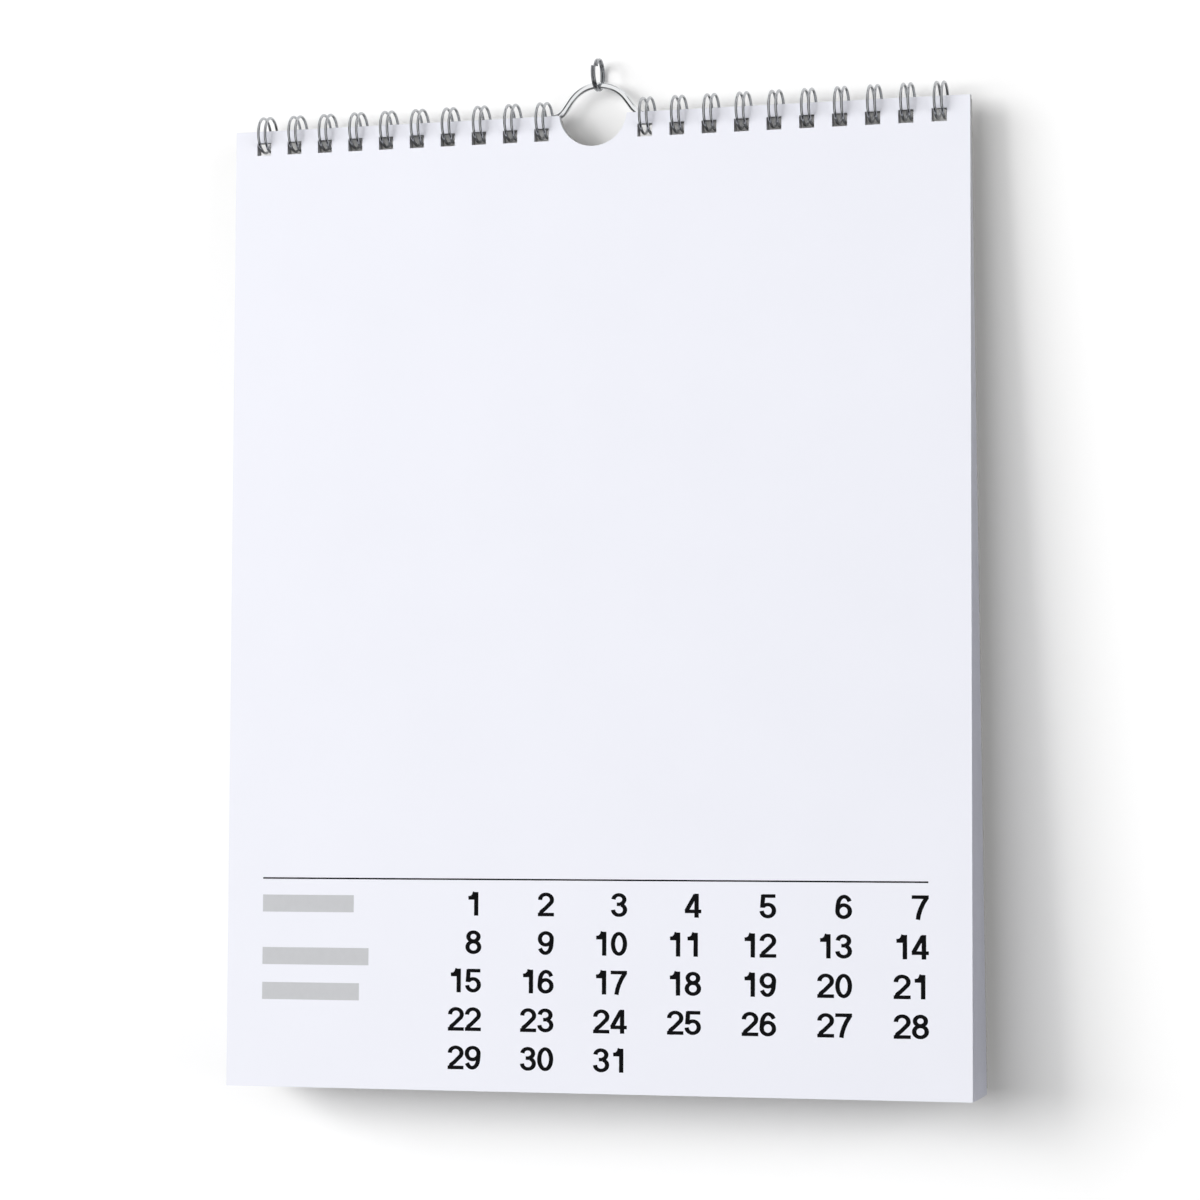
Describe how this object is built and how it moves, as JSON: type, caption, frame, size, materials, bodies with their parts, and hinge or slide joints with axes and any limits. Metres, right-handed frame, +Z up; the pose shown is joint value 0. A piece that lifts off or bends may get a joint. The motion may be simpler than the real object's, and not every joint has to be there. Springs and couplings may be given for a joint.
{
  "type": "wall calendar",
  "caption": "Wall calendar: a block of sheets fanned out at the foot, bound along the top with wire loops to a backing board, with a wire hanger and a hanging ring.",
  "frame": {"origin": "inside top of the hanging ring, where the ring bears on its hook, midway across the calendar", "axes": "+X to the right across the sheets, +Y back towards the wall, +Z up the sheets"},
  "size_m": [0.2934, 0.0416, 0.3966],
  "materials": {
    "paper": "matt white card, printed on its front sheet",
    "board": "smooth pale grey board",
    "comb_wire": "bright drawn steel wire",
    "hanger_wire": "bright plated steel wire",
    "ring_wire": "dark spring steel wire"
  },
  "bodies": {
    "eye": {"hanging_ring": "ring_wire"},
    "hanger": {"hanger": "hanger_wire"},
    "binding": {"back_board": "board", "wire_comb_left": "comb_wire", "wire_comb_right": "comb_wire"},
    "pages": {"page_block": "paper"}
  },
  "joints": [
    {"name": "ring_swing", "type": "hinge", "parent": "eye", "child": "hanger", "pos_m": [0, 0, -0.0095], "axis": [-1, 0, 0], "range_deg": [-90, 90]},
    {"name": "hanger_fold", "type": "hinge", "parent": "hanger", "child": "binding", "pos_m": [0, 0, -0.0216], "axis": [1, 0, 0], "range_deg": [0, 140]},
    {"name": "pages_turn", "type": "hinge", "parent": "binding", "child": "pages", "pos_m": [0, -0.00454, -0.0228], "axis": [-1, 0, 0], "range_deg": [0, 105]}
  ]
}
